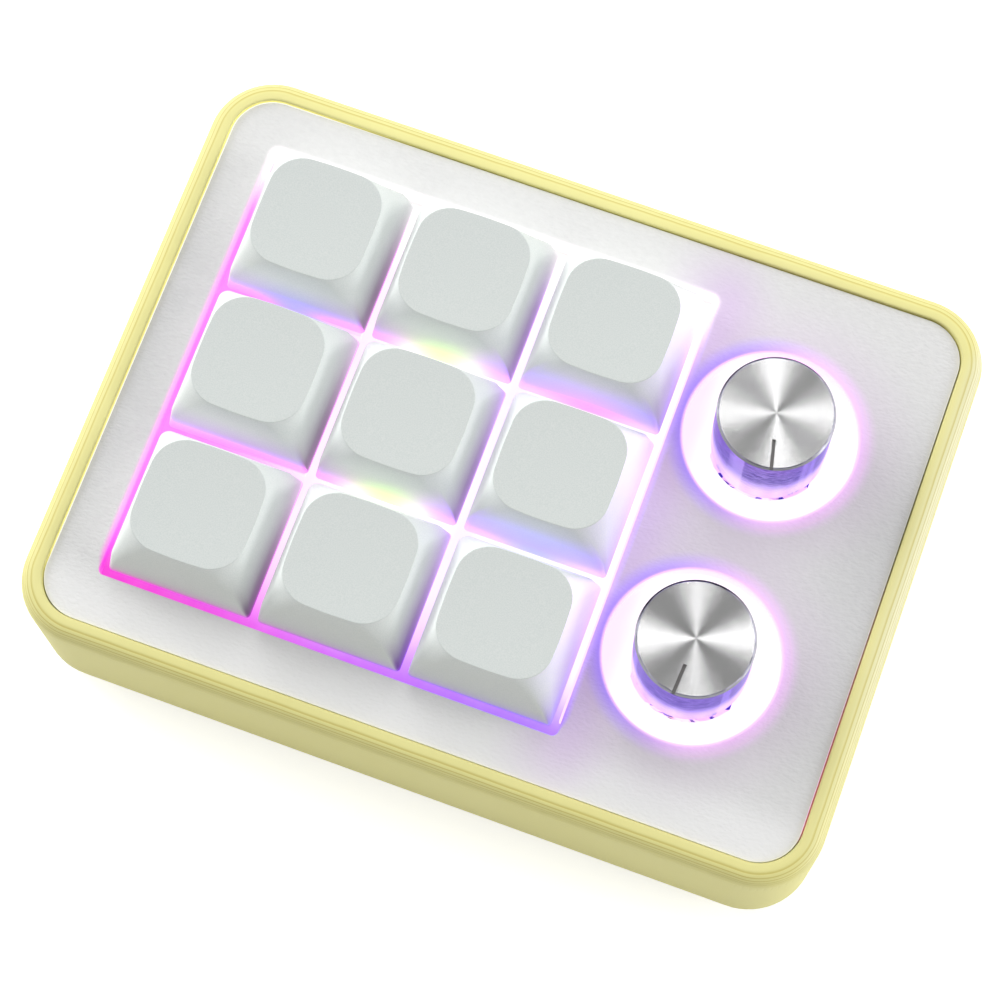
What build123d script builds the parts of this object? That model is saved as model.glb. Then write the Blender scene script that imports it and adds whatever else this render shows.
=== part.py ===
from build123d import *
import os
from math import atan2, cos, degrees, radians, sin, sqrt

# Macro keypad: nine keys in the window of a white top plate and two push knobs beside it, in a printed tray.
# Millimetres. X runs along the long side towards the knobs, Y towards the rear wall with the USB inlet,
# and Z up. The origin is on the surface that the rubber feet stand on, under the middle of the case.

# Small round features that repeat many times are drawn with few sides
small_round_sides = 8
large_round_sides = 16
diffuser_hole_sides = 32

# Keys: a square grid at the standard spacing
key_pitch = 19.05
key_columns = 3
key_rows = 3

# Keycap: an even low profile, alike on all four sides
cap_base = 18.1
cap_base_corner = 0.6
cap_waist = 17.3
cap_waist_corner = 1.3
cap_waist_height = 3.6
cap_top = 14.3
cap_top_corner = 4.3
cap_height = 9.1
cap_dish_depth = 0.25
cap_corner_facets = 4
cap_dish_reach = 8.9
cap_wall = 1.3
cap_roof = 1.6
cap_inner_taper = 14.5
cap_post_diameter = 5.5
cap_post_recess = 0.4
cap_post_gap = 0.1
cap_socket_fit = 0.04

# Top plate: a frame round the keys with two round holes for the knobs
cap_gap = 0.96
window_corner = 0.7
plate_border = 6.12
knob_web = 1.19
knob_hole_diameter = 21.2
knob_border = 8.2
knob_spacing = 29.0
top_plate_thickness = 2.0

# Case: a tray with a rim round the top plate
rim_width = 2.75
rim_step = 0.4
plate_gap = 0.15
ledge_width = 1.6
cavity_corner_cut = 2.4
case_corner_radius = 8.2
case_top_round = 1.8
case_round_flats = 3
case_bottom_chamfer = 1.0
floor_thickness = 2.4

# Stack inside the case, from the floor up
under_board_room = 3.2
board_thickness = 1.6
switch_depth = 5.0
switch_plate_thickness = 1.5
plate_rise = 6.6
board_gap = 0.3

# Rubber feet
foot_diameter = 9.0
foot_height = 2.0
foot_inset = 13.0

# Lid screws, and the pillars and bosses that they clamp
screw_diameter = 2.0
screw_length = 12.0
screw_head_diameter = 3.8
screw_head_height = 1.4
screw_clearance = 0.2
counterbore_depth = 3.0
pillar_size = 7.2
pillar_tip_size = 4.6
pillar_play = 0.2
boss_diameter = 5.0
boss_gap = 0.25
insert_diameter = 3.2
insert_length = 3.0

# Key switch housings
switch_cutout = 14.0
housing_fit = 0.05
housing_flange = 15.6
housing_flange_thickness = 1.0
housing_wall = 1.2
housing_rise = 6.6
housing_taper = 14.0
peg_diameter = 3.9
peg_length = 3.3
peg_bottom = 0.6
pin_diameter = 2.0
pin_play = 0.2
led_offset = 5.08

# Key switch stem and spring
stem_rise = 3.6
cross_length = 4.0
cross_thickness = 1.2
slider_length = 7.0
slider_width = 6.2
slider_play = 0.15
slider_top_height = 1.2
shoulder_length = 8.8
shoulder_height = 3.7
shoulder_gap = 0.1
spring_pocket = 5.4
spring_pocket_depth = 1.4
pin_reach = 4.8
spring_diameter = 4.8
spring_wire = 0.35
spring_turns = 4
spring_sides = 5

# Key switch contacts: a fixed leaf and a moving leaf, each on a solder pin
contact_thickness = 0.3
contact_height = 3.6
contact_pin_width = 0.9
contact_pin_drop = 2.8
contact_slot_play = 0.1
fixed_pin = (-3.81, 2.54)
fixed_leaf_y = 4.2
moving_pin = (2.54, 5.08)

# Circuit board parts
board_hole_play = 0.05
solder_slot_play = 0.25
key_led_length = 3.2
key_led_width = 2.8
key_led_height = 1.9
led_fit = 0.1
diode_length = 2.6
diode_width = 1.3
diode_height = 1.0
diode_offset = 8.2
knob_led_size = 3.5
knob_led_height = 1.5
knob_led_offset = 8.8
chip_size = 7.0
chip_height = 0.9

# USB inlet in the rear wall
usb_x = 0.0
usb_width = 8.94
usb_height = 3.26
usb_depth = 7.3
usb_corner = 1.25
usb_shell_wall = 0.3
usb_past_board = 0.8
usb_tongue_width = 6.69
usb_tongue_thickness = 0.7
usb_tongue_length = 4.5
usb_block_depth = 1.6
usb_opening_width = 13.0
usb_opening_height = 7.0
usb_opening_corner = 1.5

# Rotary encoders with a push switch
encoder_length = 11.7
encoder_width = 12.0
encoder_height = 6.0
encoder_cutout_play = 0.6
encoder_floor = 1.6
encoder_bore = 10.2
bracket_thickness = 0.8
bracket_leg = 0.4
bracket_leg_width = 5.0
bush_diameter = 7.0
bush_height = 5.0
shaft_diameter = 6.0
shaft_running_fit = 0.03
shaft_flat = 1.5
shaft_top_height = 18.7
shaft_shoulder_gap = 0.1
shaft_tail_diameter = 3.8
shaft_tail_flat = 1.2
push_travel = 0.5
push_gap = 0.6
dome_diameter = 4.0
dome_thickness = 0.3
rotor_diameter = 9.4
rotor_thickness = 1.6
rotor_gap = 0.2
rotor_fit = 0.05
terminal_pitch = 2.5
terminal_width = 0.8
terminal_thickness = 0.3
terminal_reach = 1.2
terminal_height = 2.0
terminal_drop = 2.6

# Knobs: a spun metal cup over a plastic core
knob_diameter = 14.1
knob_height = 11.7
knob_chamfer = 0.3
knob_wall = 0.85
knob_roof = 1.2
knob_core_fit = 0.05
knob_core_clearance = 0.4
core_bore_room = 0.2
core_roof = 0.6
notch_width = 0.42
notch_depth = 0.3
notch_start = 3.3
notch_angles = [283.5, 267.0]

# Diffuser sheet under the knob holes
diffuser_thickness = 1.5
diffuser_hole_gap = 0.45
diffuser_border = 1.6

# Lengths and widths, worked out from what the top plate frames
window_length = (key_columns - 1) * key_pitch + cap_base + 2 * cap_gap
window_width = (key_rows - 1) * key_pitch + cap_base + 2 * cap_gap
top_plate_length = plate_border + window_length + knob_web + knob_hole_diameter + knob_border
top_plate_width = window_width + 2 * plate_border
pocket_length = top_plate_length + 2 * plate_gap
pocket_width = top_plate_width + 2 * plate_gap
case_length = pocket_length + 2 * rim_width
case_width = pocket_width + 2 * rim_width
cavity_length = pocket_length - 2 * ledge_width
cavity_width = pocket_width - 2 * ledge_width
pocket_corner = case_corner_radius - rim_width
top_plate_corner = pocket_corner - plate_gap
board_length = cavity_length - 2 * board_gap
board_width = cavity_width - 2 * board_gap

# Places seen from above
window_x = -top_plate_length / 2 + plate_border + window_length / 2
knob_x = window_x + window_length / 2 + knob_web + knob_hole_diameter / 2
key_spots = [
    (window_x + (column - (key_columns - 1) / 2) * key_pitch, ((key_rows - 1) / 2 - row) * key_pitch)
    for row in range(key_rows)
    for column in range(key_columns)
]
knob_spots = [(knob_x, knob_spacing / 2), (knob_x, -knob_spacing / 2)]
corner_signs = [(-1, -1), (1, -1), (1, 1), (-1, 1)]
boss_reach = boss_diameter / 2 + boss_gap
screw_inset = max(boss_reach, (cavity_corner_cut + boss_reach * sqrt(2)) / 2)
screw_spots = [
    (across * (cavity_length / 2 - screw_inset), along * (cavity_width / 2 - screw_inset))
    for across, along in corner_signs
]
cavity_corners = [(across * cavity_length / 2, along * cavity_width / 2) for across, along in corner_signs]
foot_spots = [
    (across * (case_length / 2 - foot_inset), along * (case_width / 2 - foot_inset))
    for across, along in corner_signs
]

# Levels of the case and of the stack in it
case_bottom = foot_height
floor_top = case_bottom + floor_thickness
board_bottom = floor_top + under_board_room
board_top = board_bottom + board_thickness
switch_seat = board_top + switch_depth
switch_plate_bottom = switch_seat - switch_plate_thickness
plate_top = switch_seat + plate_rise
plate_bottom = plate_top - top_plate_thickness
rim_top = plate_top + rim_step
head_seat = case_bottom + counterbore_depth

# Levels of a key switch at rest
housing_floor = board_top + housing_wall
peg_end = board_top - peg_length
flange_top = switch_seat + housing_flange_thickness
housing_top = switch_seat + housing_rise
housing_ceiling = housing_top - housing_wall
stem_top = housing_top + stem_rise
shoulder_top = housing_ceiling - shoulder_gap
shoulder_bottom = shoulder_top - shoulder_height
slider_top = shoulder_top + slider_top_height
post_bottom = slider_top + cap_post_gap
cap_edge = post_bottom - cap_post_recess

# Level and mouth of the USB inlet
usb_level = board_top + usb_height / 2
usb_mouth = board_width / 2 + usb_past_board

# Levels of a knob and its encoder
encoder_top = board_top + encoder_height
bracket_top = encoder_top + bracket_thickness
bush_top = bracket_top + bush_height
dome_top = board_top + encoder_floor + dome_thickness
tail_bottom = dome_top + push_gap
shaft_shoulder = encoder_top + shaft_shoulder_gap
shaft_top = board_top + shaft_top_height
rotor_top = shaft_shoulder - push_travel - rotor_gap
knob_ceiling = shaft_top + core_bore_room + core_roof
knob_top = knob_ceiling + knob_roof
knob_bottom = knob_top - knob_height
core_bottom = bush_top + push_travel + knob_core_clearance


def offset_spots(spots, dx, dy):
    """The same spots, each moved by dx and dy."""
    return [(x + dx, y + dy) for x, y in spots]


def small_round(diameter, mode=Mode.ADD):
    """Draws a small round outline with few sides."""
    RegularPolygon(diameter / 2, small_round_sides, mode=mode)


def large_round(diameter, mode=Mode.ADD):
    """Draws a larger round outline with more sides."""
    RegularPolygon(diameter / 2, large_round_sides, mode=mode)


def cut_cornered(length, width, cut):
    """Draws a rectangle whose corners are cut off straight."""
    Rectangle(length, width)
    for across, along in corner_signs:
        with Locations((across * length / 2, along * width / 2)):
            Rectangle(cut * sqrt(2), cut * sqrt(2), rotation=45, mode=Mode.SUBTRACT)


def d_shape(diameter, flat):
    """Draws a round outline cut straight at a distance from its middle."""
    large_round(diameter)
    with Locations((flat + diameter / 2, 0)):
        Rectangle(diameter, diameter, mode=Mode.SUBTRACT)


def save(piece, name):
    """Labels a finished piece and writes its file."""
    piece.label = name
    export_step(piece, f"parts/{name}.step")


os.makedirs("parts", exist_ok=True)

# Lower case: tray with a pocket for the top plate, four corner pillars, and the opening for the USB plug
with BuildPart() as lower_case:
    with BuildSketch(Plane.XY.offset(case_bottom + case_bottom_chamfer)):
        RectangleRounded(case_length, case_width, case_corner_radius)
    extrude(amount=rim_top - case_top_round - case_bottom - case_bottom_chamfer)
    extrude(lower_case.faces().sort_by(Axis.Z)[0], amount=case_bottom_chamfer, taper=45)
    for flat in range(case_round_flats):
        low_angle = radians(90 * flat / case_round_flats)
        high_angle = radians(90 * (flat + 1) / case_round_flats)
        inset = case_top_round * (1 - cos(low_angle))
        step_in = case_top_round * (cos(low_angle) - cos(high_angle))
        step_up = case_top_round * (sin(high_angle) - sin(low_angle))
        with BuildSketch(Plane.XY.offset(rim_top - case_top_round * (1 - sin(low_angle)))):
            RectangleRounded(case_length - 2 * inset, case_width - 2 * inset, case_corner_radius - inset)
        extrude(amount=step_up, taper=degrees(atan2(step_in, step_up)))
    with BuildSketch(Plane.XY.offset(plate_bottom)):
        RectangleRounded(pocket_length, pocket_width, pocket_corner)
    extrude(amount=rim_top - plate_bottom, mode=Mode.SUBTRACT)
    with BuildSketch(Plane.XY.offset(floor_top)):
        cut_cornered(cavity_length, cavity_width, cavity_corner_cut)
    extrude(amount=plate_bottom - floor_top, mode=Mode.SUBTRACT)
    with BuildSketch(Plane.XY.offset(floor_top)):
        with Locations(*screw_spots):
            Rectangle(pillar_size, pillar_size)
    extrude(amount=board_bottom - floor_top)
    with BuildSketch(Plane.XY.offset(board_bottom)):
        with Locations(*screw_spots):
            Rectangle(pillar_tip_size, pillar_tip_size)
    extrude(amount=switch_plate_bottom - board_bottom)
    with BuildSketch(Plane.XY.offset(case_bottom)):
        with Locations(*screw_spots):
            large_round(screw_head_diameter + 2 * screw_clearance)
    extrude(amount=counterbore_depth, mode=Mode.SUBTRACT)
    with BuildSketch(Plane.XY.offset(head_seat)):
        with Locations(*screw_spots):
            small_round(screw_diameter + 2 * screw_clearance)
    extrude(amount=switch_plate_bottom - head_seat, mode=Mode.SUBTRACT)
    with BuildSketch(Plane(origin=(usb_x, case_width / 2, usb_level), x_dir=(1, 0, 0), z_dir=(0, -1, 0))):
        RectangleRounded(usb_opening_width, usb_opening_height, usb_opening_corner)
    extrude(amount=(case_width - cavity_width) / 2, mode=Mode.SUBTRACT)
save(lower_case.part, "lower_case")

# Rubber feet: stuck under the case
with BuildPart() as rubber_feet:
    with BuildSketch(Plane.XY):
        with Locations(*foot_spots):
            large_round(foot_diameter)
    extrude(amount=foot_height)
save(rubber_feet.part, "rubber_feet")

# Top plate: lies on the ledge, with a boss under each corner for a thread insert
with BuildPart() as top_plate:
    with BuildSketch(Plane.XY.offset(plate_bottom)):
        RectangleRounded(top_plate_length, top_plate_width, top_plate_corner)
        with Locations((window_x, 0)):
            RectangleRounded(window_length, window_width, window_corner, mode=Mode.SUBTRACT)
        with Locations(*knob_spots):
            Circle(knob_hole_diameter / 2, mode=Mode.SUBTRACT)
    extrude(amount=top_plate_thickness)
    with BuildSketch(Plane.XY.offset(switch_seat)):
        with Locations(*screw_spots):
            small_round(boss_diameter)
            small_round(insert_diameter, mode=Mode.SUBTRACT)
    extrude(amount=plate_bottom - switch_seat)
save(top_plate.part, "top_plate")

# Knob diffuser: a translucent sheet under the knob holes, which spreads the light of the knob LEDs
with BuildPart() as knob_diffuser:
    with BuildSketch(Plane.XY.offset(plate_bottom - diffuser_thickness)):
        with Locations((knob_x, 0)):
            Rectangle(
                knob_hole_diameter + 2 * diffuser_border,
                knob_hole_diameter + 2 * diffuser_border + knob_spacing,
            )
        with Locations(*knob_spots):
            RegularPolygon(knob_diameter / 2 + diffuser_hole_gap, diffuser_hole_sides, mode=Mode.SUBTRACT)
    extrude(amount=diffuser_thickness)
save(knob_diffuser.part, "knob_diffuser")

# Switch plate: holds the nine switches, clamped between the pillars and the bosses
with BuildPart() as switch_plate:
    with BuildSketch(Plane.XY.offset(switch_plate_bottom)):
        cut_cornered(board_length, board_width, cavity_corner_cut)
        with Locations(*key_spots):
            Rectangle(switch_cutout, switch_cutout, mode=Mode.SUBTRACT)
        with Locations(*knob_spots):
            Rectangle(
                encoder_length + 2 * encoder_cutout_play,
                encoder_width + 2 * encoder_cutout_play,
                mode=Mode.SUBTRACT,
            )
        with Locations(*screw_spots):
            small_round(screw_diameter + 2 * screw_clearance, mode=Mode.SUBTRACT)
    extrude(amount=switch_plate_thickness)
save(switch_plate.part, "switch_plate")

# Lid screws: cheese heads in the counterbores under the case
with BuildPart() as lid_screws:
    with BuildSketch(Plane.XY.offset(head_seat - screw_head_height)):
        with Locations(*screw_spots):
            large_round(screw_head_diameter)
    extrude(amount=screw_head_height)
    with BuildSketch(Plane.XY.offset(head_seat)):
        with Locations(*screw_spots):
            small_round(screw_diameter)
    extrude(amount=screw_length)
save(lid_screws.part, "lid_screws")

# Thread inserts: brass sleeves pressed into the bosses of the top plate
with BuildPart() as thread_inserts:
    with BuildSketch(Plane.XY.offset(switch_seat)):
        with Locations(*screw_spots):
            small_round(insert_diameter)
            small_round(screw_diameter, mode=Mode.SUBTRACT)
    extrude(amount=insert_length)
save(thread_inserts.part, "thread_inserts")

# Circuit board: notched round the pillars, rests on their shoulders, cut for what passes through it
contact_pins = offset_spots(key_spots, *fixed_pin) + offset_spots(key_spots, *moving_pin)
led_spots = offset_spots(key_spots, 0, -led_offset)
terminal_y = encoder_width / 2 + terminal_reach
terminal_offsets = [(across * terminal_pitch, -terminal_y) for across in (-1, 0, 1)]
terminal_offsets += [(across * terminal_pitch, terminal_y) for across in (-1, 1)]
board_notch = 2 * (screw_inset + pillar_tip_size / 2 + pillar_play)
with BuildPart() as circuit_board:
    with BuildSketch(Plane.XY.offset(board_bottom)):
        Rectangle(board_length, board_width)
        with Locations(*cavity_corners):
            Rectangle(board_notch, board_notch, mode=Mode.SUBTRACT)
        with Locations(*key_spots):
            small_round(peg_diameter + 2 * board_hole_play, mode=Mode.SUBTRACT)
        with Locations(*contact_pins):
            Rectangle(
                contact_pin_width + 2 * solder_slot_play,
                contact_thickness + 2 * solder_slot_play,
                mode=Mode.SUBTRACT,
            )
        with Locations(*led_spots):
            Rectangle(key_led_length + 2 * led_fit, key_led_width + 2 * led_fit, mode=Mode.SUBTRACT)
        for dx, dy in terminal_offsets:
            with Locations(*offset_spots(knob_spots, dx, dy)):
                Rectangle(
                    terminal_width + 2 * solder_slot_play,
                    terminal_thickness + 2 * solder_slot_play,
                    mode=Mode.SUBTRACT,
                )
    extrude(amount=board_thickness)
save(circuit_board.part, "circuit_board")

# Lower switch housings: square tubs hung in the switch plate, each with a hollow peg in the board
housing_size = switch_cutout - 2 * housing_fit
with BuildPart() as switch_lower_housings:
    with BuildSketch(Plane.XY.offset(board_top)):
        with Locations(*key_spots):
            Rectangle(housing_size, housing_size)
    extrude(amount=switch_depth)
    with BuildSketch(Plane.XY.offset(switch_seat)):
        with Locations(*key_spots):
            Rectangle(housing_flange, housing_flange)
    extrude(amount=housing_flange_thickness)
    with BuildSketch(Plane.XY.offset(peg_end)):
        with Locations(*key_spots):
            small_round(peg_diameter)
    extrude(amount=peg_length)
    with BuildSketch(Plane.XY.offset(housing_floor)):
        with Locations(*key_spots):
            Rectangle(housing_size - 2 * housing_wall, housing_size - 2 * housing_wall)
    extrude(amount=flange_top - housing_floor, mode=Mode.SUBTRACT)
    with BuildSketch(Plane.XY.offset(peg_end + peg_bottom)):
        with Locations(*key_spots):
            small_round(pin_diameter + 2 * pin_play)
    extrude(amount=housing_floor - peg_end - peg_bottom, mode=Mode.SUBTRACT)
    with BuildSketch(Plane.XY.offset(board_top)):
        with Locations(*contact_pins):
            Rectangle(contact_pin_width + 2 * contact_slot_play, contact_thickness + 2 * contact_slot_play)
    extrude(amount=housing_wall, mode=Mode.SUBTRACT)
save(switch_lower_housings.part, "switch_lower_housings")

# Upper switch housings: tapered covers on the flanges, open at the top for the stem
with BuildPart() as switch_upper_housings:
    with BuildSketch(Plane.XY.offset(flange_top)):
        with Locations(*key_spots):
            Rectangle(switch_cutout, switch_cutout)
    extrude(amount=housing_top - flange_top, taper=housing_taper)
    with BuildSketch(Plane.XY.offset(flange_top)):
        with Locations(*key_spots):
            Rectangle(switch_cutout - 2 * housing_wall, switch_cutout - 2 * housing_wall)
    extrude(amount=housing_ceiling - flange_top, taper=housing_taper, mode=Mode.SUBTRACT)
    with BuildSketch(Plane.XY.offset(housing_ceiling)):
        with Locations(*key_spots):
            Rectangle(slider_length + 2 * slider_play, slider_width + 2 * slider_play)
    extrude(amount=housing_top - housing_ceiling, mode=Mode.SUBTRACT)
save(switch_upper_housings.part, "switch_upper_housings")

# Switch contacts: two leaves in each housing on pins through the board, one with a foot under its leaf
contact_pin_bottom = board_top - contact_pin_drop
with BuildPart() as switch_contacts:
    with BuildSketch(Plane.XY.offset(contact_pin_bottom)):
        with Locations(*contact_pins):
            Rectangle(contact_pin_width, contact_thickness)
    extrude(amount=housing_floor - contact_pin_bottom)
    with BuildSketch(Plane.XY.offset(housing_floor)):
        with Locations(*offset_spots(key_spots, fixed_pin[0], (fixed_leaf_y + fixed_pin[1]) / 2)):
            Rectangle(contact_pin_width, fixed_leaf_y - fixed_pin[1] + contact_thickness)
    extrude(amount=contact_thickness)
    with BuildSketch(Plane.XY.offset(housing_floor)):
        with Locations(*offset_spots(key_spots, fixed_pin[0], fixed_leaf_y)):
            Rectangle(contact_pin_width, contact_thickness)
        with Locations(*offset_spots(key_spots, *moving_pin)):
            Rectangle(contact_pin_width, contact_thickness)
    extrude(amount=contact_height)
save(switch_contacts.part, "switch_contacts")

# Key LEDs: set in cut-outs of the board, shining up through the clear housings of the switches
with BuildPart() as key_leds:
    with BuildSketch(Plane.XY.offset(board_top - key_led_height)):
        with Locations(*led_spots):
            Rectangle(key_led_length, key_led_width)
    extrude(amount=key_led_height)
save(key_leds.part, "key_leds")

# Knob LEDs: four round each encoder, on the board under the diffuser
with BuildPart() as knob_leds:
    with BuildSketch(Plane.XY.offset(board_top)):
        for across, along in corner_signs:
            with Locations(*offset_spots(knob_spots, across * knob_led_offset, along * knob_led_offset)):
                Rectangle(knob_led_size, knob_led_size)
    extrude(amount=knob_led_height)
save(knob_leds.part, "knob_leds")

# Key diodes and the controller chip: soldered under the board
with BuildPart() as key_diodes:
    with BuildSketch(Plane.XY.offset(board_bottom - diode_height)):
        with Locations(*offset_spots(key_spots, 0, -diode_offset)):
            Rectangle(diode_length, diode_width)
    extrude(amount=diode_height)
save(key_diodes.part, "key_diodes")

with BuildPart() as controller_chip:
    with BuildSketch(Plane.XY.offset(board_bottom - chip_height)):
        with Locations((window_x + key_pitch / 2, -key_pitch / 2)):
            Rectangle(chip_size, chip_size, rotation=45)
    extrude(amount=chip_height)
save(controller_chip.part, "controller_chip")

# USB inlet: a drawn metal shell on the rear edge of the board, with a plastic tongue in it
usb_plane = Plane(origin=(usb_x, usb_mouth, usb_level), x_dir=(1, 0, 0), z_dir=(0, -1, 0))
usb_inside_width = usb_width - 2 * usb_shell_wall
usb_inside_height = usb_height - 2 * usb_shell_wall
usb_inside_depth = usb_depth - usb_shell_wall
with BuildPart() as usb_shell:
    with BuildSketch(usb_plane):
        RectangleRounded(usb_width, usb_height, usb_corner)
    extrude(amount=usb_depth)
    with BuildSketch(usb_plane):
        RectangleRounded(usb_inside_width, usb_inside_height, usb_corner - usb_shell_wall)
    extrude(amount=usb_inside_depth, mode=Mode.SUBTRACT)
save(usb_shell.part, "usb_shell")

with BuildPart() as usb_tongue:
    with BuildSketch(usb_plane.offset(usb_inside_depth - usb_block_depth)):
        Rectangle(usb_inside_width - 2 * usb_corner, usb_inside_height)
    extrude(amount=usb_block_depth)
    with BuildSketch(usb_plane.offset(usb_inside_depth - usb_block_depth)):
        Rectangle(usb_tongue_width, usb_tongue_thickness)
    extrude(amount=-usb_tongue_length)
save(usb_tongue.part, "usb_tongue")

# Encoder bases: square plastic boxes on the board, bored for the rotor
with BuildPart() as encoder_bases:
    with BuildSketch(Plane.XY.offset(board_top)):
        with Locations(*knob_spots):
            Rectangle(encoder_length, encoder_width)
    extrude(amount=encoder_height)
    with BuildSketch(Plane.XY.offset(board_top + encoder_floor)):
        with Locations(*knob_spots):
            large_round(encoder_bore)
    extrude(amount=encoder_height - encoder_floor, mode=Mode.SUBTRACT)
save(encoder_bases.part, "encoder_bases")

# Encoder brackets: a metal cover on each base with two legs down to the board and the bush of the shaft
with BuildPart() as encoder_brackets:
    with BuildSketch(Plane.XY.offset(encoder_top)):
        with Locations(*knob_spots):
            Rectangle(encoder_length + 2 * bracket_leg, encoder_width)
    extrude(amount=bracket_thickness)
    with BuildSketch(Plane.XY.offset(board_top)):
        for across in (-1, 1):
            with Locations(*offset_spots(knob_spots, across * (encoder_length + bracket_leg) / 2, 0)):
                Rectangle(bracket_leg, bracket_leg_width)
    extrude(amount=encoder_height)
    with BuildSketch(Plane.XY.offset(bracket_top)):
        with Locations(*knob_spots):
            large_round(bush_diameter)
    extrude(amount=bush_height)
    with BuildSketch(Plane.XY.offset(encoder_top)):
        with Locations(*knob_spots):
            RegularPolygon(shaft_diameter / 2 + shaft_running_fit, large_round_sides, major_radius=False)
    extrude(amount=bush_top - encoder_top, mode=Mode.SUBTRACT)
save(encoder_brackets.part, "encoder_brackets")

# Encoder terminals: out of the sides of the bases and down through the board
with BuildPart() as encoder_terminals:
    for dx, dy in terminal_offsets:
        arm_length = terminal_reach + terminal_thickness / 2
        arm_y = dy - (arm_length - terminal_thickness) / 2 * (1 if dy > 0 else -1)
        with BuildSketch(Plane.XY.offset(board_top + terminal_height)):
            with Locations(*offset_spots(knob_spots, dx, arm_y)):
                Rectangle(terminal_width, arm_length)
        extrude(amount=terminal_thickness)
        with BuildSketch(Plane.XY.offset(board_top - terminal_drop)):
            with Locations(*offset_spots(knob_spots, dx, dy)):
                Rectangle(terminal_width, terminal_thickness)
        extrude(amount=terminal_drop + terminal_height)
save(encoder_terminals.part, "encoder_terminals")

# Encoder domes: the snap discs of the push switches, on the floors of the bases
with BuildPart() as encoder_domes:
    with BuildSketch(Plane.XY.offset(dome_top - dome_thickness)):
        with Locations(*knob_spots):
            small_round(dome_diameter)
    extrude(amount=dome_thickness)
save(encoder_domes.part, "encoder_domes")


def cap_reach(size, corner, angle):
    """How far a rounded square reaches from its middle in the direction of this angle."""
    return (size / 2 - corner) * (abs(cos(angle)) + abs(sin(angle))) + corner


def lean_in(low_height, low_size, low_corner, high_height, high_size, high_corner):
    """Cuts the cap's sides back to the flats and rounded corners between two rounded squares."""
    for step in range(4 * cap_corner_facets):
        angle = radians(90 * step / cap_corner_facets)
        low_reach = cap_reach(low_size, low_corner, angle)
        high_reach = cap_reach(high_size, high_corner, angle)
        rise = high_height - low_height
        foot = (low_reach * cos(angle), low_reach * sin(angle), low_height)
        outward = (rise * cos(angle), rise * sin(angle), low_reach - high_reach)
        split(bisect_by=Plane(origin=foot, z_dir=outward), keep=Keep.BOTTOM)


# Keycap: leans in more above its waist, with corners that widen upwards, a dished top and a post inside
cap_face = cap_edge + cap_height
cap_waist_level = cap_edge + cap_waist_height
dish_radius = (cap_dish_reach**2 + cap_dish_depth**2) / (2 * cap_dish_depth)
with BuildPart() as keycap:
    with BuildSketch(Plane.XY.offset(cap_edge)):
        Rectangle(cap_base, cap_base)
    extrude(amount=cap_height)
    lean_in(cap_edge, cap_base, cap_base_corner, cap_waist_level, cap_waist, cap_waist_corner)
    lean_in(cap_waist_level, cap_waist, cap_waist_corner, cap_face, cap_top, cap_top_corner)
    with Locations((0, 0, cap_face - cap_dish_depth + dish_radius)):
        Sphere(dish_radius, rotation=(90, 0, 0), mode=Mode.SUBTRACT)
    with BuildSketch(Plane.XY.offset(cap_edge)):
        Rectangle(cap_base - 2 * cap_wall, cap_base - 2 * cap_wall)
    extrude(amount=cap_height - cap_roof, taper=cap_inner_taper, mode=Mode.SUBTRACT)
    with BuildSketch(Plane.XY.offset(post_bottom)):
        small_round(cap_post_diameter)
    extrude(amount=cap_face - cap_roof - post_bottom)
    with BuildSketch(Plane.XY.offset(post_bottom)):
        Rectangle(cross_length + 2 * cap_socket_fit, cross_thickness + 2 * cap_socket_fit)
        Rectangle(cross_thickness + 2 * cap_socket_fit, cross_length + 2 * cap_socket_fit)
    extrude(amount=stem_top + cap_socket_fit - post_bottom, mode=Mode.SUBTRACT)

# Key stem: a slider with shoulders under the housing's top, a cross for the cap and a pin for the peg
with BuildPart() as key_stem:
    with BuildSketch(Plane.XY.offset(slider_top)):
        Rectangle(cross_length, cross_thickness)
        Rectangle(cross_thickness, cross_length)
    extrude(amount=stem_top - slider_top)
    with BuildSketch(Plane.XY.offset(shoulder_top)):
        Rectangle(slider_length, slider_width)
    extrude(amount=slider_top - shoulder_top)
    with BuildSketch(Plane.XY.offset(shoulder_bottom)):
        Rectangle(shoulder_length, slider_width)
    extrude(amount=shoulder_height)
    with BuildSketch(Plane.XY.offset(shoulder_bottom)):
        Rectangle(spring_pocket, spring_pocket)
    extrude(amount=spring_pocket_depth, mode=Mode.SUBTRACT)
    with BuildSketch(Plane.XY.offset(shoulder_bottom - pin_reach)):
        small_round(pin_diameter)
    extrude(amount=pin_reach + spring_pocket_depth)

# Key spring: a coil of square wire from the housing floor to the pocket of the stem
coil_radius = (spring_diameter - spring_wire) / 2
coil_rise = shoulder_bottom + spring_pocket_depth - housing_floor - 2 * spring_wire
coil_steps = spring_turns * spring_sides
coil_points = [
    (
        coil_radius * cos(radians(360 * step / spring_sides)),
        coil_radius * sin(radians(360 * step / spring_sides)),
        housing_floor + spring_wire + coil_rise * step / coil_steps,
    )
    for step in range(coil_steps + 1)
]
with BuildPart() as key_spring:
    with BuildLine() as coil:
        Polyline(*coil_points)
    with BuildSketch(Plane(origin=coil.line @ 0, z_dir=coil.line % 0)):
        Rectangle(spring_wire, spring_wire)
    sweep(transition=Transition.RIGHT)

for number, (x, y) in enumerate(key_spots, start=1):
    place = Location((x, y, 0))
    save(keycap.part.moved(place), f"keycap_{number}")
    save(key_stem.part.moved(place), f"key_stem_{number}")
    save(key_spring.part.moved(place), f"key_spring_{number}")

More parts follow.
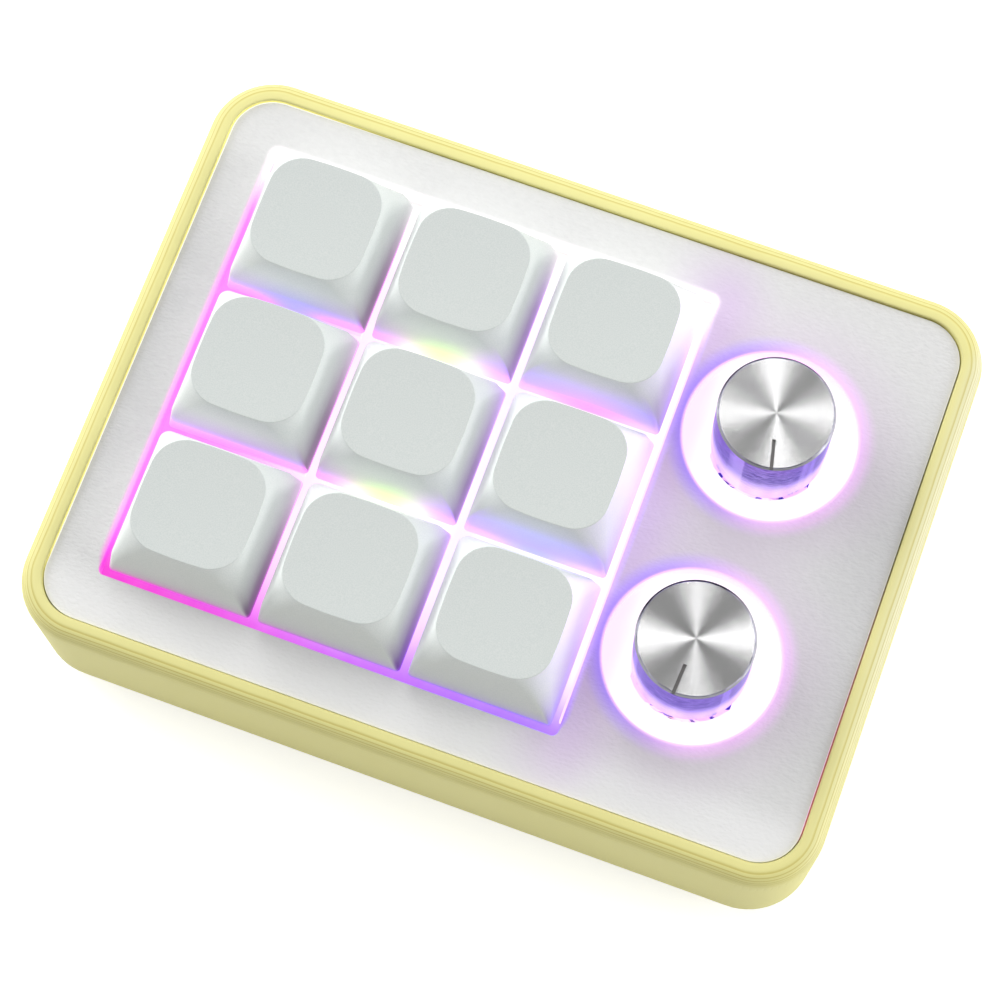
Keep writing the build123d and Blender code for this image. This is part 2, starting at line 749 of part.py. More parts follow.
# Encoder shaft: a round neck in the bush, flatted for the knob above it and for the rotor below
with BuildPart() as encoder_shaft:
    with BuildSketch(Plane.XY.offset(tail_bottom)):
        d_shape(shaft_tail_diameter, shaft_tail_flat)
    extrude(amount=shaft_shoulder - tail_bottom)
    with BuildSketch(Plane.XY.offset(shaft_shoulder)):
        large_round(shaft_diameter)
    extrude(amount=bush_top - shaft_shoulder)
    with BuildSketch(Plane.XY.offset(bush_top)):
        d_shape(shaft_diameter, shaft_flat)
    extrude(amount=shaft_top - bush_top)

# Encoder rotor: a contact disc that the shaft turns and slides in
with BuildPart() as encoder_rotor:
    with BuildSketch(Plane.XY.offset(rotor_top - rotor_thickness)):
        large_round(rotor_diameter)
    extrude(amount=rotor_thickness)
    with BuildSketch(Plane.XY.offset(rotor_top - rotor_thickness)):
        d_shape(shaft_tail_diameter + 2 * rotor_fit, shaft_tail_flat + rotor_fit)
    extrude(amount=rotor_thickness, mode=Mode.SUBTRACT)

# Knob cap: a metal cup with a bevelled rim and one notch along its face
notch_length = knob_diameter / 2 - notch_start + knob_wall
with BuildPart() as knob_cap:
    with BuildSketch(Plane.XY.offset(knob_bottom)):
        Circle(knob_diameter / 2)
    extrude(amount=knob_height)
    chamfer(knob_cap.faces().sort_by(Axis.Z)[-1].edges(), length=knob_chamfer)
    with BuildSketch(Plane.XY.offset(knob_bottom)):
        large_round(knob_diameter - 2 * knob_wall)
    extrude(amount=knob_ceiling - knob_bottom, mode=Mode.SUBTRACT)
    with BuildSketch(Plane.XY.offset(knob_top - notch_depth)):
        with Locations((notch_start + notch_length / 2, 0)):
            Rectangle(notch_length, notch_width)
    extrude(amount=notch_depth, mode=Mode.SUBTRACT)

# Knob core: plastic, pressed into the cup and bored for the flatted shaft
with BuildPart() as knob_core:
    with BuildSketch(Plane.XY.offset(core_bottom)):
        large_round(knob_diameter - 2 * knob_wall - 2 * knob_core_fit)
    extrude(amount=knob_ceiling - core_bottom)
    with BuildSketch(Plane.XY.offset(core_bottom)):
        d_shape(shaft_diameter + 2 * knob_core_fit, shaft_flat + knob_core_fit)
    extrude(amount=shaft_top + core_bore_room - core_bottom, mode=Mode.SUBTRACT)

for number, ((x, y), angle) in enumerate(zip(knob_spots, notch_angles), start=1):
    place = Location((x, y, 0), (0, 0, angle))
    save(encoder_shaft.part.moved(place), f"encoder_shaft_{number}")
    save(encoder_rotor.part.moved(place), f"encoder_rotor_{number}")
    save(knob_cap.part.moved(place), f"knob_cap_{number}")
    save(knob_core.part.moved(place), f"knob_core_{number}")
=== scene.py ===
# %% [markdown]
# # A macro keypad with lit keys
# The pad is a pale yellow printed tray with a white top plate, nine low keys in a window and two metal
# knobs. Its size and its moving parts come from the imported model, which this lesson loads as a fixed
# frame. Here the keycaps, knob caps and key springs are made again with finer forms, every part gets a
# finish, and the pad is lit.

# %% Load the frame
import bpy
import bmesh
from math import cos, pi, radians, sin, sqrt
from mathutils import Matrix, Vector


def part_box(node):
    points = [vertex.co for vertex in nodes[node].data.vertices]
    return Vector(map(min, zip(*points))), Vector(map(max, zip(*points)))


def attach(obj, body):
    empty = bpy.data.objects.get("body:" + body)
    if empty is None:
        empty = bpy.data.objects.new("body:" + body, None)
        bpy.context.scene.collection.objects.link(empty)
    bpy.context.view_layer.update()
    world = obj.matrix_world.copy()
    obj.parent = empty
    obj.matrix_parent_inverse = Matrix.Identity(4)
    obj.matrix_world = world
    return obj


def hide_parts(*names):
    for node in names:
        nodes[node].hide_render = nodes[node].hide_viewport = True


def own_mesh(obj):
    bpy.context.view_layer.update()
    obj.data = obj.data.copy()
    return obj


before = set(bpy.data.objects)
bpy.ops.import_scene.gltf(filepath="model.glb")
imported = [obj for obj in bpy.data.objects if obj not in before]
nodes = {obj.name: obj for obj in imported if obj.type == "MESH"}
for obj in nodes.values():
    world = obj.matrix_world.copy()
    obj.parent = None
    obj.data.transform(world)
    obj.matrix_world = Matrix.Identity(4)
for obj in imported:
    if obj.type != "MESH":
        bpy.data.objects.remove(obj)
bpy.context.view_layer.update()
mm = 0.001

# %% [markdown]
# ## Where the photographer stands
# The camera looks down on the pad from the front, turned a little to the right, through a long lens. It
# is placed by the point it aims at, two angles and a distance, which read more plainly than a matrix.

# %% Camera
aim = Vector((0.73, -4.16, 20.8)) * mm
azimuth = radians(22.22)
elevation = radians(73.60)
roll = radians(-2.15)
distance = 338.96 * mm

turn = Matrix.Rotation(azimuth, 4, "Z") @ Matrix.Rotation(pi / 2 - elevation, 4, "X")
lens = bpy.data.cameras.new("camera")
lens.lens = 101.73
lens.sensor_width = 36
lens.clip_start = 0.01
camera = bpy.data.objects.new("camera", lens)
stand = aim + turn @ Vector((0, 0, distance))
camera.matrix_world = Matrix.Translation(stand) @ turn @ Matrix.Rotation(roll, 4, "Z")
bpy.context.scene.collection.objects.link(camera)
bpy.context.scene.camera = camera
print("camera at", [round(value, 4) for value in camera.matrix_world.translation])

# %% [markdown]
# ## Arithmetic for finishes
# A finish is a tree of nodes, and most of the nodes are sums. The class below wraps one socket of the
# tree, so that a sum can be written as a sum: each sign adds a Math node, for numbers on either side of
# it.

# %% Wires and finishes
class Wire:
    """A value in a finish. Sums on it add Math nodes."""

    def __init__(self, finish, socket):
        self.finish = finish
        self.socket = socket

    def __add__(self, other):
        return self.finish.sum("ADD", self, other)

    def __sub__(self, other):
        return self.finish.sum("SUBTRACT", self, other)

    def __mul__(self, other):
        return self.finish.sum("MULTIPLY", self, other)

    def __truediv__(self, other):
        return self.finish.sum("DIVIDE", self, other)

    def __rsub__(self, other):
        return self.finish.sum("SUBTRACT", other, self)

    def __pow__(self, other):
        return self.finish.sum("POWER", self, other)

    __radd__ = __add__
    __rmul__ = __mul__


class Tree:
    """A tree of nodes and the few ways in which this lesson adds nodes to it."""

    def __init__(self, tree):
        self.tree = tree

    def fill(self, socket, value):
        """Links a wire to a socket, or writes a plain value in it."""
        if isinstance(value, Wire):
            self.tree.links.new(value.socket, socket)
        elif socket.type == "RGBA":
            socket.default_value = (*value, 1)
        else:
            socket.default_value = value

    def node(self, kind, settings=None, sockets=None, output=0):
        """Adds any node: its settings first, then its sockets by name or number. Gives one output."""
        node = self.tree.nodes.new(kind)
        for name, value in (settings or {}).items():
            setattr(node, name, value)
        for name, value in (sockets or {}).items():
            self.fill(node.inputs[name], value)
        return Wire(self, node.outputs[output])

    def sum(self, operation, first, second=0.0):
        return self.node("ShaderNodeMath", {"operation": operation}, {0: first, 1: second})

    def vector(self, operation, first, second, output=0):
        return self.node("ShaderNodeVectorMath", {"operation": operation}, {0: first, 1: second}, output)

    def mix(self, amount, first, second):
        """One colour where amount is 0, the other where it is 1."""
        return self.node("ShaderNodeMix", {"data_type": "RGBA"}, {0: amount, 6: first, 7: second}, output=2)

    def fade(self, value, start, end, low=0.0, high=1.0):
        """Goes smoothly from low to high while value goes from start to end."""
        return self.node(
            "ShaderNodeMapRange",
            {"interpolation_type": "SMOOTHSTEP"},
            {"Value": value, "From Min": start, "From Max": end, "To Min": low, "To Max": high},
        )

    def seen(self):
        """1 for what the camera sees, also in a mirror or through glass, and 0 for the light on the pad."""
        kinds = ("Camera", "Glossy", "Transmission")
        rays = [self.node("ShaderNodeLightPath", output=f"Is {kind} Ray") for kind in kinds]
        return self.sum("MAXIMUM", self.sum("MAXIMUM", rays[0], rays[1]), rays[2])


class Finish(Tree):
    """A material on a principled shader."""

    def __init__(self, name, **sockets):
        self.material = bpy.data.materials.new(name)
        self.material.use_nodes = True
        super().__init__(self.material.node_tree)
        self.shader = self.tree.nodes["Principled BSDF"]
        self.set(**sockets)

    def set(self, **sockets):
        """Sets or links the shader's sockets: base_color stands for Base Color."""
        for name, value in sockets.items():
            self.fill(self.shader.inputs[name.replace("_", " ").title()], value)

    def place(self):
        """The point on the piece, in metres."""
        return self.node("ShaderNodeTexCoord", output="Object")

    def along(self, axis):
        """The point's distance along X, Y or Z, in millimetres."""
        return self.node("ShaderNodeSeparateXYZ", None, {0: self.place()}, output=axis) * 1000

    def facing(self):
        """The direction that the surface faces, as three numbers between -1 and 1."""
        normal = self.node("ShaderNodeTexCoord", output="Normal")
        return [self.node("ShaderNodeSeparateXYZ", None, {0: normal}, output=axis) for axis in "XYZ"]

    def from_outline(self, box, corner):
        """How far a point lies inside the outline of a box with rounded corners, in millimetres."""
        over = []
        for axis in (0, 1):
            half = (box[1][axis] - box[0][axis]) / 2 / mm
            middle = (box[1][axis] + box[0][axis]) / 2 / mm
            away = self.sum("ABSOLUTE", self.along("XYZ"[axis]) - middle)
            over.append(self.sum("MAXIMUM", away - (half - corner), 0))
        return corner - self.sum("SQRT", over[0] * over[0] + over[1] * over[1])

    def noise(self, grain, detail=2.0, stretch=(1, 1, 1), turn=(0, 0, 0)):
        """Soft noise whose features are about grain millimetres across."""
        place = self.node(
            "ShaderNodeMapping", None, {"Vector": self.place(), "Scale": stretch, "Rotation": turn}
        )
        sockets = {"Vector": place, "Scale": 1000 / grain, "Detail": detail}
        return self.node("ShaderNodeTexNoise", None, sockets)

    def bump(self, height, depth, normal=None):
        """Turns a height between 0 and 1 into a relief, depth millimetres deep."""
        sockets = {"Height": height, "Distance": depth * mm, "Strength": 1.0}
        if normal:
            sockets["Normal"] = normal
        return self.node("ShaderNodeBump", None, sockets)

    def soft_edges(self, radius):
        """The normal of a piece whose edges are rounded by a few tenths of a millimetre."""
        return self.node("ShaderNodeBevel", {"samples": 6}, {"Radius": radius * mm})


def shade(red, green, blue):
    """A colour as it looks on a screen, from 0 to 255, turned into the light that a shader works with."""
    return tuple((value / 255) ** 2.2 for value in (red, green, blue))


# %% [markdown]
# ## The light under the keys
# Each key has one LED, and the white plastic carries its light to the gap in front of the key. The LEDs
# are wired in one chain that runs to and fro along the rows, and a wave of three colours repeats along
# the chain. So the hue at a point follows from the place of the nearest key, over a ground that goes from
# pink on the left to lilac on the right. The near edge of the window has the deepest light, and at the
# far edge it is washed out.

# %% Glow of the LEDs
keys_per_row = 3
key_numbers = range(1, 10)
led_reach = 8
pink = shade(255, 130, 240)
lime = shade(220, 255, 160)
blue = shade(150, 150, 255)
lilac = shade(200, 165, 255)
magenta = shade(220, 50, 200)
deep_violet = shade(150, 90, 250)
washed_out = shade(255, 245, 250)
colour_wave = [blue, lime, pink]

first_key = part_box("keycap_1")
last_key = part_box("keycap_9")
left_edge = first_key[0].x / mm
right_edge = last_key[1].x / mm
near_edge = last_key[0].y / mm
far_edge = first_key[1].y / mm


def led_colour(number):
    """The colour of the LED of a key, by its place in the chain."""
    row, column = divmod(number - 1, keys_per_row)
    along_row = column if row % 2 == 0 else keys_per_row - 1 - column
    return colour_wave[(row * keys_per_row + along_row) % len(colour_wave)]


def glow_hue(finish):
    """The hue of the light at a point between the keys."""
    x = finish.along("X")
    y = finish.along("Y")
    hue = finish.mix(finish.fade(x, left_edge, right_edge), pink, lilac)
    flat = finish.vector("MULTIPLY", finish.place(), (1000, 1000, 0))
    for number in key_numbers:
        low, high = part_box(f"keycap_{number}")
        spot = ((low.x + high.x) / 2 / mm, low.y / mm, 0)
        away = finish.vector("DISTANCE", flat, spot, "Value")
        hue = finish.mix(finish.fade(away, led_reach, 0), hue, led_colour(number))
    near_hue = finish.mix(finish.fade(x, left_edge, right_edge), magenta, deep_violet)
    hue = finish.mix(finish.fade(y, near_edge + led_reach, near_edge), hue, near_hue)
    return finish.mix(finish.fade(y, far_edge - led_reach, far_edge), hue, washed_out)


print("keys in the window", round(left_edge, 1), "to", round(right_edge, 1), "mm")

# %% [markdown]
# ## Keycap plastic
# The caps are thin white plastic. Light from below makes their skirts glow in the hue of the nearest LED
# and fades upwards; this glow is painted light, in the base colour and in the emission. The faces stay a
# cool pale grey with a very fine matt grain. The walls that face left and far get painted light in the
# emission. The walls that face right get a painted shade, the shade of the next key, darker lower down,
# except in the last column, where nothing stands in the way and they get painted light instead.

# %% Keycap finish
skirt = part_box("keycap_5")[0].z / mm
key_pitch = (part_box("keycap_2")[0].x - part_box("keycap_1")[0].x) / mm
middle_column = (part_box("keycap_5")[0].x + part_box("keycap_5")[1].x) / 2 / mm


def keycap_finish():
    cap = Finish("keycap plastic", roughness=0.55)
    rise = cap.along("Z") - skirt
    hue = glow_hue(cap)
    speckle = cap.noise(0.14, 3)
    plain = cap.mix(cap.fade(speckle, 0.3, 0.7), shade(219, 226, 223), shade(229, 234, 231))
    toward_x, toward_y, toward_z = cap.facing()
    frontward = cap.fade(toward_y, -0.3, -0.8)
    rightward = cap.fade(toward_x, 0.25, 0.75)
    last_wall = rightward * cap.fade(cap.along("X"), 8, 10)
    along_key = cap.sum("FRACT", cap.along("Y") / key_pitch + 0.5)
    # Painted shade: walls that face right get darker lower down and towards the near end of each key, except
    # in the last column.
    shadow = rightward * cap.fade(rise, 6.5, 1.0) * cap.fade(along_key, 1.1, 0.25) * (1 - last_wall)
    plain = cap.mix(shadow * 0.85, plain, shade(112, 114, 122))
    sideways = cap.fade(toward_z, 0.85, 0.6)
    between_keys = frontward * cap.fade(cap.along("Y"), -25, -20)
    reach = between_keys * cap.fade(cap.along("X"), -26, 0, 3.2, 7.5) + 1.2
    side_column = cap.fade(cap.sum("ABSOLUTE", cap.along("X") - middle_column), 4, 11)
    hue = cap.mix(cap.fade(rise, 0.8, 3.0) * between_keys * side_column * 0.75, hue, shade(160, 140, 255))
    # Painted light: the glow of the LEDs is mixed into the base colour, from the skirt upwards, and further
    # up on walls that face the front or the right.
    painted_glow_amount = cap.fade(rise, reach, -0.6) * 0.92
    painted_right_glow = cap.fade(cap.along("X"), -25, 2, 0.1, 0.55) * rightward
    painted_side_glow = sideways * cap.fade(rise, 7.0, 0.5) * cap.sum("MAXIMUM", between_keys * 0.5, painted_right_glow)
    painted_glow_amount = cap.sum("MAXIMUM", painted_glow_amount, painted_side_glow)
    cap.set(base_color=cap.mix(painted_glow_amount, plain, hue))
    # Painted light in the emission: walls that face left and far glow more, as if lit by the left softbox,
    # all walls glow a little, and the skirts glow in the hue of the LEDs.
    lit_side = cap.fade(toward_y * 0.6 - toward_x, 0.2, 0.8)
    painted_wall_light = sideways * (lit_side * 0.15 + 0.07) * (1 - shadow)
    edge_light = cap.fade(rise, reach * 0.9, -1.0)
    painted_wall_hue = cap.mix(painted_side_glow * 1.5, (1, 1, 1), hue)
    light = cap.mix(edge_light, cap.mix(painted_wall_light, (0, 0, 0), painted_wall_hue), hue)
    # Painted light: the walls that face right in the last column glow lilac to pink in the emission.
    last_hue = cap.mix(along_key, shade(176, 150, 250), shade(252, 215, 252))
    last_light = last_wall * sideways * cap.fade(along_key, 0.05, 0.75, 0.12, 0.5)
    light = cap.mix(last_light, light, last_hue)
    cap.set(emission_color=light, emission_strength=1.0)
    cap.set(normal=cap.bump(speckle, 0.008))
    return cap.material


keycap_plastic = keycap_finish()

# %% [markdown]
# ## Keycaps
# A keycap is a stack of rounded squares: sharp-cornered at the skirt, softer at the waist and rounder
# still at the face. One rounded square is a four-sided circle with its corners bevelled. Near the face
# its sides bulge a little, and bridging the squares from the inside skirt up to the face gives the walls.
# The face sinks towards its middle.

# %% Keycap form
cap_outline = [
    # size, corner, bulge of the sides and height over the skirt, from the inner wall to the face
    (12.0, 2.0, 0, 7.4),
    (15.5, 0.5, 0, 0.4),
    (17.9, 0.5, 0, 0.0),
    (18.1, 0.55, 0, 0.12),
    (17.3, 1.2, 0.002, 3.6),
    (15.85, 2.3, 0.018, 6.3),
    (14.75, 3.5, 0.022, 8.3),
    (14.4, 4.0, 0.02, 8.98),
    (14.32, 4.0, 0.02, 9.05),
    (14.2, 4.0, 0.02, 9.1),
]
side_steps = 7
corner_steps = 8
face_rings = 5
dish_depth = 0.25
dish_reach = 8.6
face_height = cap_outline[-1][-1]
roof_height = cap_outline[0][-1]
post_radius = 2.75
post_height = 3.4
post_overlap = 0.05


def rounded_square(mesh, size, corner, bulge, height):
    """Adds a loop round a square with rounded corners and bulging sides. Gives its edges."""
    older = set(mesh.edges)
    level = Matrix.Translation((0, 0, height * mm)) @ Matrix.Rotation(pi / 4, 4, "Z")
    square = bmesh.ops.create_circle(mesh, segments=4, radius=size / sqrt(2) * mm, matrix=level)["verts"]
    bmesh.ops.bevel(
        mesh,
        geom=square,
        affect="VERTICES",
        offset=corner * mm,
        segments=corner_steps,
        profile=0.5,
        material=-1,
    )
    straight = (size - 2 * corner) * 0.9 * mm
    sides = [edge for edge in mesh.edges if edge not in older and edge.calc_length() > straight]
    bmesh.ops.subdivide_edges(mesh, edges=sides, cuts=side_steps)
    loop = [edge for edge in mesh.edges if edge not in older]
    for point in {point for edge in loop for point in edge.verts}:
        diagonal = 2 * point.co.x * point.co.y / point.co.xy.length_squared
        point.co.x *= 1 - bulge * diagonal ** 2
        point.co.y *= 1 - bulge * diagonal ** 2
    return loop


def keycap_form(name, x, y):
    mesh = bmesh.new()
    loops = [rounded_square(mesh, *outline) for outline in cap_outline]
    for lower, upper in zip(loops, loops[1:]):
        bmesh.ops.bridge_loops(mesh, edges=lower + upper)
    bmesh.ops.contextual_create(mesh, geom=loops[0])
    face = bmesh.ops.contextual_create(mesh, geom=loops[-1])["faces"]
    middle = bmesh.ops.poke(mesh, faces=face)["verts"][0]
    bmesh.ops.subdivide_edges(mesh, edges=list(middle.link_edges), cuts=face_rings)
    for point in mesh.verts:
        if point.co.z > (face_height - 0.2) * mm:
            reach = point.co.xy.length / mm
            point.co.z -= dish_depth * max(0, 1 - (reach / dish_reach) ** 2) * mm
    post = bmesh.ops.create_cone(
        mesh,
        segments=24,
        radius1=post_radius * mm,
        radius2=post_radius * mm,
        depth=post_height * mm,
        cap_ends=True,
    )["verts"]
    post_middle = roof_height - post_height / 2 + post_overlap
    bmesh.ops.translate(mesh, verts=post, vec=(0, 0, post_middle * mm))
    bmesh.ops.translate(mesh, verts=mesh.verts, vec=(x * mm, y * mm, skirt * mm))
    bmesh.ops.recalc_face_normals(mesh, faces=mesh.faces)
    return finish_piece(mesh, name, keycap_plastic, 30)


def finish_piece(mesh, name, material, smooth_angle=35):
    """Makes an object of a bmesh, smooth where its faces meet at less than an angle."""
    for face in mesh.faces:
        face.smooth = True
    for edge in mesh.edges:
        edge.smooth = edge.calc_face_angle(0) < radians(smooth_angle)
    data = bpy.data.meshes.new(name)
    mesh.to_mesh(data)
    mesh.free()
    data.materials.append(material)
    piece = bpy.data.objects.new(name, data)
    bpy.context.scene.collection.objects.link(piece)
    return piece


for number in key_numbers:
    low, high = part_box(f"keycap_{number}")
    middle = (low + high) / 2 / mm
    cap = keycap_form(f"cap_{number}", middle.x, middle.y)
    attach(cap, f"key_{number}")
    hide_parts(f"keycap_{number}")
print("keycap triangles", sum(len(face.vertices) - 2 for face in cap.data.polygons))

# %% [markdown]
# ## Spun metal
# The face of a knob was turned on a lathe, which leaves rings too fine to see. They tilt the surface in
# and out along every radius, and that is why the reflections of the lamps fan out in bright beams from
# the middle. So the normal is tilted along the radius by a ridge pattern, not painted with beams: the
# beams come from the lamps.

# %% Knob finishes
knob_low, knob_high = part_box("knob_cap_1")
knob_top = knob_high.z / mm
knob_height = (knob_high.z - knob_low.z) / mm
knob_radius = (knob_high.x - knob_low.x) / 2 / mm
groove_pitch = 0.037
groove_slope = 0.3
wander_pitch = 0.0517
wander_slope = 0.062


def knob_face_finish(x, y):
    face = Finish("spun knob face", metallic=1.0, roughness=0.18, base_color=shade(238, 238, 238))
    flat = face.vector("MULTIPLY", face.vector("SUBTRACT", face.place(), (x * mm, y * mm, 0)), (1, 1, 0))
    radius = face.vector("LENGTH", flat, (0, 0, 0), "Value") * 1000
    outward = face.vector("NORMALIZE", flat, (0, 0, 0))
    around = face.vector("CROSS_PRODUCT", (0, 0, 1), outward)
    groove = face.sum("PINGPONG", radius, groove_pitch / 2) / (groove_pitch / 2) * 2 - 1
    wander = face.sum("PINGPONG", radius, wander_pitch / 2) / (wander_pitch / 2) * 2 - 1
    scale = {"operation": "SCALE"}
    in_and_out = face.node("ShaderNodeVectorMath", scale, {0: outward, "Scale": groove * groove_slope})
    sideways = face.node("ShaderNodeVectorMath", scale, {0: around, "Scale": wander * wander_slope})
    leaning = face.vector("ADD", face.vector("ADD", in_and_out, sideways), (0, 0, 1))
    upright = face.vector("NORMALIZE", leaning, (0, 0, 0))
    turned = face.node(
        "ShaderNodeVectorTransform",
        {"vector_type": "NORMAL", "convert_from": "OBJECT", "convert_to": "WORLD"},
        {0: upright},
    )
    face.set(normal=turned)
    return face.material


# Painted reflection: the violet tint of the side's reflections stands in for the violet glow round the knob,
# and its lower band is painted pale pink-white, in colour and emission, for the glowing diffuser below it.
def knob_side_finish():
    side = Finish("polished knob side", metallic=1.0, specular_tint=(0.46, 0.38, 0.95))
    below = knob_top - side.along("Z")
    brushing = side.noise(0.3, 4, (0.3, 0.3, 3))
    streaks = side.noise(2.2, 1, (1, 1, 0.02))
    metal = side.mix(side.fade(brushing, 0.35, 0.65), shade(98, 96, 116), shade(182, 180, 200))
    metal = side.mix(side.fade(streaks, 0.55, 0.66) * 0.7, metal, shade(215, 208, 232))
    painted_reflection_band = side.fade(below, 5.0, 9.5)
    painted_reflection_colour = side.mix(streaks, shade(225, 190, 255), shade(255, 238, 255))
    side.set(base_color=side.mix(painted_reflection_band * 0.7, metal, painted_reflection_colour), roughness=side.fade(brushing, 0, 1, 0.14, 0.3))
    side.set(emission_color=side.mix(painted_reflection_band, (0, 0, 0), painted_reflection_colour), emission_strength=0.5)
    return side.material


def notch_finish():
    notch = Finish("milled notch", metallic=1.0, roughness=0.45)
    grain = notch.noise(0.2, 3)
    notch.set(base_color=notch.mix(grain, shade(128, 126, 125), shade(168, 166, 165)))
    notch.set(normal=notch.bump(grain, 0.01))
    return notch.material


def edge_finish():
    edge = Finish("bevel", metallic=1.0, roughness=0.22)
    grain = edge.noise(0.3, 3, (1, 1, 8))
    toward_x, toward_y = edge.facing()[:2]
    # Painted shade and highlight: the bevel is nearly black where it faces the far side and the left, and
    # grey elsewhere.
    away = edge.fade(toward_y - toward_x * 0.5, 0.1, 0.6)
    bright = edge.mix(grain, shade(150, 150, 156), shade(190, 190, 196))
    edge.set(base_color=edge.mix(away, bright, edge.mix(grain, shade(4, 4, 6), shade(16, 16, 18))))
    edge.set(normal=edge.bump(grain, 0.004))
    return edge.material


knob_side = knob_side_finish()
knob_notch = notch_finish()
knob_edge = edge_finish()
print("knob top at", round(knob_top, 2))

# %% [markdown]
# ## Knob caps
# A lathe makes the real one, and a spin makes it here: half of its outline is drawn once and turned about
# the axis. The notch is milled afterwards, so the face is cut along the sides of the notch and the strip
# between the cuts is pushed down.

# %% Knob form
knob_wall = 0.85
knob_roof = 1.2
knob_bevel = 0.3
notch_width = 0.42
notch_depth = 0.3
notch_start = 3.3
notch_angles = {1: 283.5, 2: 267.0}
knob_steps = 144
edge_break = 0.1
hair = 0.01
face_slot, side_slot, notch_slot, edge_slot = range(4)


def knob_form(name, x, y, angle):
    floor = knob_top - knob_height
    inside = knob_radius - knob_wall
    half_outline = [
        (0, knob_top - knob_roof),
        (inside, knob_top - knob_roof),
        (inside, floor),
        (knob_radius - edge_break, floor),
        (knob_radius, floor + edge_break),
        (knob_radius, knob_top - knob_bevel),
        (knob_radius - knob_bevel + edge_break, knob_top - edge_break),
        (knob_radius - knob_bevel, knob_top),
        (0, knob_top),
    ]
    mesh = bmesh.new()
    points = [mesh.verts.new((radius * mm, 0, height * mm)) for radius, height in half_outline]
    edges = [mesh.edges.new(pair) for pair in zip(points, points[1:])]
    bmesh.ops.spin(
        mesh,
        geom=points + edges,
        cent=(0, 0, 0),
        axis=(0, 0, 1),
        angle=2 * pi,
        steps=knob_steps,
        use_merge=True,
    )
    bmesh.ops.remove_doubles(mesh, verts=mesh.verts, dist=0.001 * mm)
    bmesh.ops.recalc_face_normals(mesh, faces=mesh.faces)
    cut_notch(mesh)
    for face in mesh.faces:
        middle = face.calc_center_median() / mm
        if face.material_index != notch_slot:
            on_top = face.normal.z > 0.9 and middle.z > knob_top - hair
            face.material_index = face_slot if on_top else side_slot
            if 0.3 < face.normal.z < 0.9 and middle.z < knob_top - edge_break:
                face.material_index = edge_slot
    place = Matrix.Translation((x * mm, y * mm, 0)) @ Matrix.Rotation(radians(angle), 4, "Z")
    bmesh.ops.transform(mesh, matrix=place, verts=mesh.verts)
    piece = finish_piece(mesh, name, knob_face_finish(x, y), 25)
    piece.data.materials.append(knob_side)
    piece.data.materials.append(knob_notch)
    piece.data.materials.append(knob_edge)
    return piece


def cut_notch(mesh):
    """Cuts the face along the notch and pushes the strip down."""
    top = [face for face in mesh.faces if face.normal.z > 0.3]
    walls = [
        ((0, notch_width / 2, 0), (0, 1, 0)),
        ((0, -notch_width / 2, 0), (0, -1, 0)),
        ((notch_start, 0, 0), (1, 0, 0)),
    ]
    for spot, across in walls:
        geometry = top + list({edge for face in top for edge in face.edges})
        geometry += list({point for face in top for point in face.verts})
        bmesh.ops.bisect_plane(
            mesh, geom=geometry, dist=0.0005 * mm, plane_co=Vector(spot) * mm, plane_no=across
        )
        top = [face for face in mesh.faces if face.normal.z > 0.3]
    strip = []
    for face in top:
        middle = face.calc_center_median() / mm
        if middle.x > notch_start and abs(middle.y) < notch_width / 2:
            strip.append(face)
    sunk = bmesh.ops.extrude_face_region(mesh, geom=strip)["geom"]
    bmesh.ops.delete(mesh, geom=strip, context="FACES_KEEP_BOUNDARY")
    for point in [item for item in sunk if isinstance(item, bmesh.types.BMVert)]:
        point.co.z = (knob_top - notch_depth) * mm
    for face in mesh.faces:
        middle = face.calc_center_median() / mm
        along = notch_start - hair < middle.x < knob_radius - knob_bevel / 2
        across = abs(middle.y) < notch_width / 2 + hair
        if along and across and knob_top - notch_depth - hair < middle.z < knob_top - hair / 10:
            face.material_index = notch_slot


for number, angle in notch_angles.items():
    low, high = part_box(f"knob_cap_{number}")
    middle = (low + high) / 2 / mm
    knob = knob_form(f"knob_{number}_cap", middle.x, middle.y, angle)
    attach(knob, f"knob_{number}")
    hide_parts(f"knob_cap_{number}")
print("knob faces", len(knob.data.polygons))

# %% [markdown]
# ## Top plate
# The plate is white matt plastic with a leathery grain. Light leaks into it at the edge of the window and
# round the knob holes, and tints it: pink right at the edge of a hole, then violet, then nothing after a
# few millimetres. This light is painted, in the base colour and in the emission, and so is a thin glow
# along the plate's outer edge. The plate also gets a painted shade at its left and right ends and painted
# light near the front.

# %% Top plate finish
window = (-12.235, 0.0, 29.06)
window_corner = 0.7
holes = [(28.615, 14.5), (28.615, -14.5)]
hole_radius = 10.6


